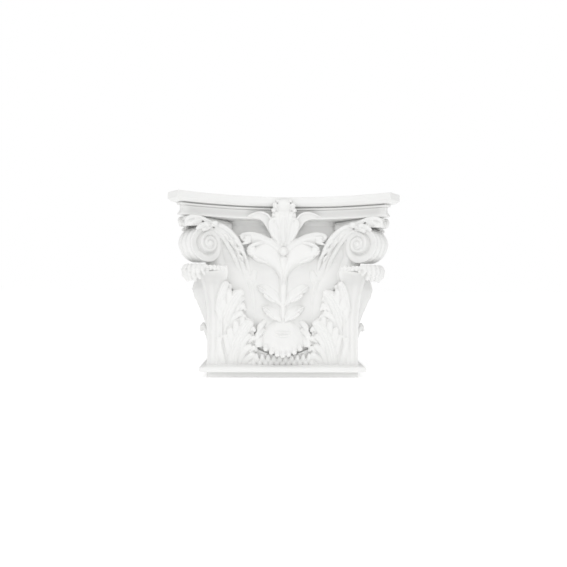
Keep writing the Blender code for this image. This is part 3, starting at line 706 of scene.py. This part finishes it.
def voluteStem():
    # three strands side by side, what fills the space behind them, and the feathers on the outermost
    lower = lobe([(60, 138, 94, 2.2, 3), (66, 160, 96, 3, 4.2), (76, 182, 100.5, 3.4, 5),
                  (87, 199, 107.5, 3.4, 6), (98, 208, 116, 3.2, 6)], gouge=0.3)
    middle = lobe([(54, 140, 93.5, 2.6, 3), (60, 164, 96, 3.2, 4.2), (70, 187, 100.5, 3.4, 5.2),
                   (83, 203.5, 107.5, 3.4, 6), (96, 210.5, 115.5, 3.2, 6)], gouge=0.3)
    upper = lobe([(48, 146, 93.5, 2.2, 3), (54, 170, 96.5, 3.2, 4.6), (65, 193, 101.5, 3.6, 5.6),
                  (80, 209, 109, 3.6, 6), (94, 214.5, 117, 3.2, 5.5)], gouge=0.25)
    filling = lobe([(54, 146, 92, 5, 3.5), (66, 180, 93.5, 7, 5), (84, 202, 101, 8.5, 7.5), (100, 208, 111, 8, 8)])
    feathers = []
    for x, z, reach in ((84, 201, 110.5), (77, 193, 106.5), (70, 184, 103.5), (64, 173, 101)):
        feathers.append(lobe([(x, z, reach - 2, 1.4, 3), (x - 4, z - 3, reach - 0.2, 2.1, 2.8),
                              (x - 6.5, z - 9, reach - 2.6, 1.0, 2)], gouge=0.25))
    feathers.append(lobe([(72, 196, 103, 2, 3), (64, 190, 104, 3.0, 3.2), (57, 181, 102, 1.6, 2.2)], gouge=0.3))
    feathers.append(lobe([(64, 184, 101, 2, 3), (57, 176, 102, 2.8, 3.2), (52.5, 167, 99.5, 1.4, 2)], gouge=0.3))
    web = sheetBetween([(58, 128, 93.5), (62, 150, 96), (68, 172, 98.5), (78, 192, 103), (88, 204, 109)],
                       [(96, 128, 102), (98, 148, 104), (98, 168, 105.5), (98, 186, 108), (100, 202, 113)],
                       [9, 9, 9, 9, 9], crown=-0.6)
    return [lower, middle, upper, filling, web] + feathers


def hornLeaf():
    # the leaf that lies over the volute on the diagonal, up to the abacus
    leaf = lobe([(84, 209, 84, 14, 15), (102, 215.5, 102, 15, 9.5), (116, 219, 116, 14, 5.4),
                 (125, 219.8, 125, 11, 3.4), (130.5, 217.5, 130.5, 8, 3), (133, 210, 133, 5.5, 2.6)],
                facing=(0, 0, 1), sides=32, steps=44, flutes=4, fluteDepth=0.9)
    edge = lobe([(97, 214, 121, 2.6, 3.4), (106, 218, 129, 2.8, 3.2), (115, 220.8, 135.5, 2.8, 2.8),
                 (124, 220.6, 140.5, 2.5, 2.6), (129.5, 216.5, 141.5, 2.2, 2.3), (130, 209.5, 139.5, 1.8, 2)],
                gouge=0.15)
    lumps = [bead(94.5, 213.8, 122.5, 5.4, 4.4, 5.2), bead(104, 212, 131, 4.4, 3.2, 4.2)]
    tips = [lobe([(103, 213, 126, 2.6, 3), (109, 211.5, 132, 2.6, 2.8), (114, 208, 136.5, 1.4, 2)]),
            lobe([(112, 217, 133, 2.6, 2.8), (118, 215, 138.5, 2.4, 2.6), (122.5, 211.5, 142, 1.3, 1.8)]),
            lobe([(99, 212, 121, 3, 3), (103, 208.5, 128, 3.6, 3.6), (109, 204, 134, 2.4, 3)], gouge=0.2),
            lobe([(106, 213, 130, 3, 3), (111, 209, 136, 3.2, 3.4), (116, 205, 140, 1.8, 2.4)], gouge=0.2)]
    root = lobe([(84, 126, 84, 20, 14), (93, 148, 93, 18, 15), (98, 172, 98, 14, 13),
                 (97, 204, 97, 15, 14)], facing=(1, 1, 0), sides=24)
    fold = [lobe([(116, 219.5, 137, 4, 3.2), (127, 220, 131.5, 6.5, 3.6), (131.5, 220, 127, 6.5, 3.6),
                  (137, 219.5, 116, 4, 3.2)], facing=(0, 0, 1)),
            lobe([(121, 216, 137, 3, 3.6), (128, 214.5, 132, 4.6, 4), (132, 214.5, 128, 4.6, 4),
                  (137, 216, 121, 3, 3.6)], facing=(0, 0, 1))]
    cup = lobe([(114, 213.5, 132.5, 4.5, 3.5), (121, 214.5, 136, 5.5, 4), (126.5, 213.5, 138, 5.2, 3.6),
                (129.5, 212.5, 137, 4, 3)], facing=(0.4, 1, 0))
    sides = [edge, cup] + lumps + tips
    return [leaf, root] + fold + sides + [otherSide(s) for s in sides]


# Mouldings, sharp where the mould is sharp

abacus = {
    "chamfer": 17.2, "hollow": 40.0,   # cut across each tip, and how far each side is hollowed
    # inset from the fascia and height, from the top down
    "profile": [(0.6, 253.0), (0.0, 252.4), (0.0, 244.6), (0.3, 244.0), (3.4, 240.9), (3.8, 240.7), (12.6, 240.6),
                (12.8, 239.2), (9.6, 239.0), (9.2, 238.7), (9.2, 237.1), (9.6, 236.8), (12.4, 236.7), (12.6, 235.6),
                (11.8, 235.4), (12.4, 233.8), (12.5, 232.0), (12.2, 230.2), (11.7, 228.5), (11.0, 227.0),
                (10.3, 225.9), (9.8, 225.1), (9.6, 224.4), (9.6, 223.9), (10.0, 223.5)],
}


def abacusLoop(inset, z, frontSteps=64, sideSteps=24):
    corner = drawn["width"] / 2
    inner = corner - abacus["chamfer"]
    middle = corner - abacus["hollow"]
    radius = (inner ** 2 + abacus["hollow"] ** 2) / (2 * abacus["hollow"])
    reach = radius + inset
    diagonal = corner + inner - inset * sqrt(2)

    def onArc(x):
        return middle + radius - sqrt(reach ** 2 - x ** 2)

    low, high = 0.0, corner   # the front's hollow ends where it meets the chamfer
    for _ in range(50):
        x = (low + high) / 2
        if x + onArc(x) < diagonal:
            low = x
        else:
            high = x
    back = drawn["wallReach"]
    sideReaches = [back + (x - back) * k / sideSteps for k in range(sideSteps + 1)]
    side = [(onArc(r), r) for r in sideReaches]
    front = [(x - x * k / frontSteps, onArc(x - x * k / frontSteps)) for k in range(frontSteps + 1)]
    loop = [(px, pr, z) for px, pr in side + front]
    return loop + [(-px, pr, pz) for px, pr, pz in reversed(loop[:-1])]


foot = {
    # half width and height, from the underside up
    "profile": [(106.6, 0.0), (107.0, 0.4), (107.0, 9.0), (114.6, 9.05), (115.6, 9.4), (116.1, 10.2), (116.3, 11.4),
                (116.3, 14.4), (116.0, 15.6), (115.2, 16.5), (114.0, 16.9), (108.0, 17.2), (99.0, 17.4)],
}


def footLoop(half, z, steps=12):
    back = drawn["wallReach"]
    side = [(half, back + (half - back) * k / steps, z) for k in range(steps + 1)]
    front = [(half - half * k / steps, half, z) for k in range(1, steps + 1)]
    loop = side + front
    return loop + [(-x, reach, height) for x, reach, height in reversed(loop[:-1])]


def mouldingPiece(name, loops):
    piece = addPiece(name, [stacked(loops)])
    piece.data.shade_smooth()
    piece.data.set_sharp_from_angle(angle=radians(32))
    print(name, "made,", len(piece.data.polygons), "faces")
    return piece


# Shader words

class Value:
    # one output of a node; sums of values become Math nodes
    def __init__(self, finish, socket):
        self.finish = finish
        self.socket = socket

    def work(self, operation, first, second):
        return self.finish.node("ShaderNodeMath", {"operation": operation}, {0: first, 1: second})[0]

    def __add__(self, other):
        return self.work("ADD", self, other)

    def __sub__(self, other):
        return self.work("SUBTRACT", self, other)

    def __rsub__(self, other):
        return self.work("SUBTRACT", other, self)

    def __mul__(self, other):
        return self.work("MULTIPLY", self, other)

    __radd__ = __add__
    __rmul__ = __mul__


class Finish:
    # a material, or the world, and the one way that nodes are added to it
    def __init__(self, name, world=None):
        self.material = world or bpy.data.materials.new(name)
        self.material.use_nodes = True
        self.tree = self.material.node_tree
        self.shader = self.tree.nodes.get("Principled BSDF")

    def node(self, kind, settings=None, inputs=None):
        made = self.tree.nodes.new(kind)
        for key, value in (settings or {}).items():
            setattr(made, key, value)
        for key, value in (inputs or {}).items():
            self.feed(made.inputs[key], value)
        return [Value(self, output) for output in made.outputs]

    def feed(self, socket, value):
        if isinstance(value, Value):
            self.tree.links.new(value.socket, socket)
        else:
            socket.default_value = value


primer = {
    # the hollow colour is painted shade, laid darker into recesses by how deep they lie; hollowGain is that painted
    # shade, and the extra roughness, per metre of depth
    "white": (0.84, 0.84, 0.83, 1), "shade": (0.82, 0.82, 0.81, 1), "hollow": (0.66, 0.66, 0.65, 1),
    "roughness": 0.55, "roughnessSpread": 0.10, "hollowRoughness": 0.15,
    "mottleSize": 26.0, "grainSize": 900.0, "orangePeelSize": 260.0, "peelShare": 0.7,
    "bumpStrength": 0.12, "bumpDistance": 0.0006,
    "hollowSpread": 14, "hollowGain": 900.0,   # steps of smoothing a hollow is measured by, and tone per metre of it
}


def castWhite():
    # white primer on cast resin: faint mottling, a trace of orange peel, rougher in the hollows, and painted shade
    # that darkens them
    finish = Finish("castWhite")
    where = finish.node("ShaderNodeTexCoord")[3]

    def noise(size, detail):
        return finish.node("ShaderNodeTexNoise", {}, {"Vector": where, "Scale": primer[size], "Detail": detail})[0]

    mottle, peel, grain = noise("mottleSize", 4.0), noise("orangePeelSize", 2.0), noise("grainSize", 3.0)
    hollow = finish.node("ShaderNodeAttribute", {"attribute_name": "hollow"})[2]
    tone = finish.node("ShaderNodeMix", {"data_type": "RGBA"}, {0: mottle, 6: primer["shade"], 7: primer["white"]})[2]
    # painted shade: the hollow colour darkens the primer in recesses, where shade falls
    colour = finish.node("ShaderNodeMix", {"data_type": "RGBA"}, {0: hollow, 6: tone, 7: primer["hollow"]})[2]
    finish.feed(finish.shader.inputs["Base Color"], colour)
    rough = primer["roughness"] + mottle * primer["roughnessSpread"] + hollow * primer["hollowRoughness"]
    finish.feed(finish.shader.inputs["Roughness"], rough)
    height = peel * primer["peelShare"] + grain * (1 - primer["peelShare"])
    bump = finish.node("ShaderNodeBump", {}, {"Strength": primer["bumpStrength"], "Distance": primer["bumpDistance"],
                                              "Height": height})[0]
    finish.feed(finish.shader.inputs["Normal"], bump)
    return finish.material


def markPaintedShade(piece):
    # how deep each point lies under the smoothed surface round it, kept for the finish as the mask of its painted
    # shade and rougher hollows
    data = piece.data
    count = len(data.vertices)
    points = np.empty(count * 3)
    data.vertices.foreach_get("co", points)
    points = points.reshape(-1, 3)
    edges = np.empty(len(data.edges) * 2, dtype=int)
    data.edges.foreach_get("vertices", edges)
    edges = edges.reshape(-1, 2)
    normals = np.empty(count * 3)
    data.vertex_normals.foreach_get("vector", normals)
    normals = normals.reshape(-1, 3)
    degree = np.bincount(edges.ravel(), minlength=count).astype(float)[:, None]
    smooth = points.copy()
    for _ in range(primer["hollowSpread"]):
        total = np.empty_like(smooth)
        for axis in range(3):
            total[:, axis] = (np.bincount(edges[:, 0], weights=smooth[edges[:, 1], axis], minlength=count)
                              + np.bincount(edges[:, 1], weights=smooth[edges[:, 0], axis], minlength=count))
        smooth = 0.3 * smooth + 0.7 * total / np.maximum(degree, 1)
    depth = ((smooth - points) * normals).sum(axis=1) * primer["hollowGain"]
    layer = data.attributes.new("hollow", "FLOAT", "POINT")
    layer.data.foreach_set("value", np.clip(depth, 0, 1).astype(np.float32))


# The capital

cornerSides = voluteStem() + cornerHead() + cornerTiers()
sideShapes = cornerSides + cornerBlade(onSide=True) + sideTip()
cornerShapes = (cornerSides + cornerBlade() + [otherSide(s) for s in sideShapes]
                + voluteSolid() + hornLeaf())
middleShapes = (bellSolid() + centreStem() + fleuronMiddle() + hoodSolid()
                + bothHalves(stemLeaves() + fleuronSide() + hoodBits() + stalkAndCalyx()))
print("shapes drawn:", len(cornerShapes), "for a corner,", len(middleShapes), "for the middle")

pieces = [
    growTogether("bellAndStem", middleShapes, mesh["bellClearance"]),
    growTogether("rightCorner", cornerShapes, mesh["cornerClearance"]),
    mouldingPiece("abacusMoulding", [abacusLoop(inset, z) for inset, z in abacus["profile"]]),
    mouldingPiece("footMoulding", [footLoop(half, z) for half, z in foot["profile"]]),
]
pieces.append(mirrorPiece(pieces[1], "leftCorner"))

whiteFinish = castWhite()
for piece in pieces:
    markPaintedShade(piece)
    piece.data.materials.clear()
    piece.data.materials.append(whiteFinish)
    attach(piece, "root")
    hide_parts("pilaster_capital")
print("finish on", len(pieces), "pieces")


# Room: pale floor, white surround, soft light from above and in front

room = {
    "floorSize": 14.0, "floorWhite": (0.97, 0.97, 0.97, 1), "floorShade": 0.985, "floorGlow": 0.33,
    "surround": 0.27, "fromFront": 0.62, "fromAbove": 0.50, "backdrop": 1.0,
    "key": {"size": 1.1, "power": 5.5, "from": (-0.35, -0.95, 1.9)},
    "front": {"size": 1.6, "power": 1.0, "from": (-0.1, -1.7, 0.25)},
    "lit": (0, 0, 0.12),   # the point both lights look at
}


def paleFloor():
    half = room["floorSize"] / 2
    data = bpy.data.meshes.new("floor")
    data.from_pydata([(-half, -half, 0), (half, -half, 0), (half, half, 0), (-half, half, 0)], [], [(0, 1, 2, 3)])
    floor = bpy.data.objects.new("floor", data)
    floor.location.z = boxLow.z - 0.0002
    bpy.context.scene.collection.objects.link(floor)
    finish = Finish("paleFloor")
    where = finish.node("ShaderNodeTexCoord")[3]
    cloud = finish.node("ShaderNodeTexNoise", {}, {"Vector": where, "Scale": 1.5})[0]
    shade = tuple(room["floorShade"] * c for c in room["floorWhite"][:3]) + (1,)
    colour = finish.node("ShaderNodeMix", {"data_type": "RGBA"}, {0: cloud, 6: shade, 7: room["floorWhite"]})[2]
    finish.feed(finish.shader.inputs["Base Color"], colour)
    finish.shader.inputs["Roughness"].default_value = 0.9
    finish.shader.inputs["Emission Color"].default_value = (1, 1, 1, 1)
    finish.shader.inputs["Emission Strength"].default_value = room["floorGlow"]
    data.materials.append(finish.material)


def softLight(name, light):
    lamp = bpy.data.lights.new(name, "AREA")
    lamp.shape = "DISK"
    lamp.size = light["size"]
    lamp.energy = light["power"]
    holder = bpy.data.objects.new(name, lamp)
    holder.location = light["from"]
    aim = Vector(room["lit"]) - holder.location
    holder.rotation_mode = "QUATERNION"
    holder.rotation_quaternion = aim.to_track_quat("-Z", "Y")
    bpy.context.scene.collection.objects.link(holder)


def whiteSurround():
    # the room is lighter above and in front of the capital, and its backdrop reads as white
    world = bpy.data.worlds.new("surround")
    bpy.context.scene.world = world
    world.use_nodes = True
    sky = Finish("sky", world)
    _, y, z = sky.node("ShaderNodeSeparateXYZ", {}, {0: sky.node("ShaderNodeTexCoord")[0]})
    ahead, above = y.work("MAXIMUM", 0 - y, 0.0), z.work("MAXIMUM", z, 0.0)
    strength = room["surround"] + ahead * room["fromFront"] + above * room["fromAbove"]
    glow = sky.node("ShaderNodeBackground", {}, {"Color": (1, 1, 1, 1), "Strength": strength})[0]
    seen = sky.node("ShaderNodeBackground", {}, {"Color": (1, 1, 1, 1), "Strength": room["backdrop"]})[0]
    direct = sky.node("ShaderNodeLightPath")[0]
    mix = sky.node("ShaderNodeMixShader", {}, {0: direct, 1: glow, 2: seen})[0]
    sky.feed(sky.tree.nodes["World Output"].inputs["Surface"], mix)


paleFloor()
softLight("keyLight", room["key"])
softLight("frontLight", room["front"])
whiteSurround()
bpy.context.scene.view_settings.view_transform = "Standard"

camera = {"from": (-0.015, -0.599, 0.1328), "aim": (0.0, -0.015, 0.1328), "lens": 26.67, "roll": 0.4}


def photoCamera():
    lens = bpy.data.cameras.new("camera")
    lens.lens = camera["lens"]
    lens.sensor_width = 36.0
    holder = bpy.data.objects.new("camera", lens)
    holder.location = camera["from"]
    aim = Vector(camera["aim"]) - holder.location
    holder.rotation_mode = "QUATERNION"
    holder.rotation_quaternion = aim.to_track_quat("-Z", "Y")
    holder.rotation_mode = "XYZ"
    holder.rotation_euler.rotate_axis("Z", radians(camera["roll"]))
    lens.clip_start = 0.02
    bpy.context.scene.collection.objects.link(holder)
    bpy.context.scene.camera = holder


photoCamera()
print("room and camera set")
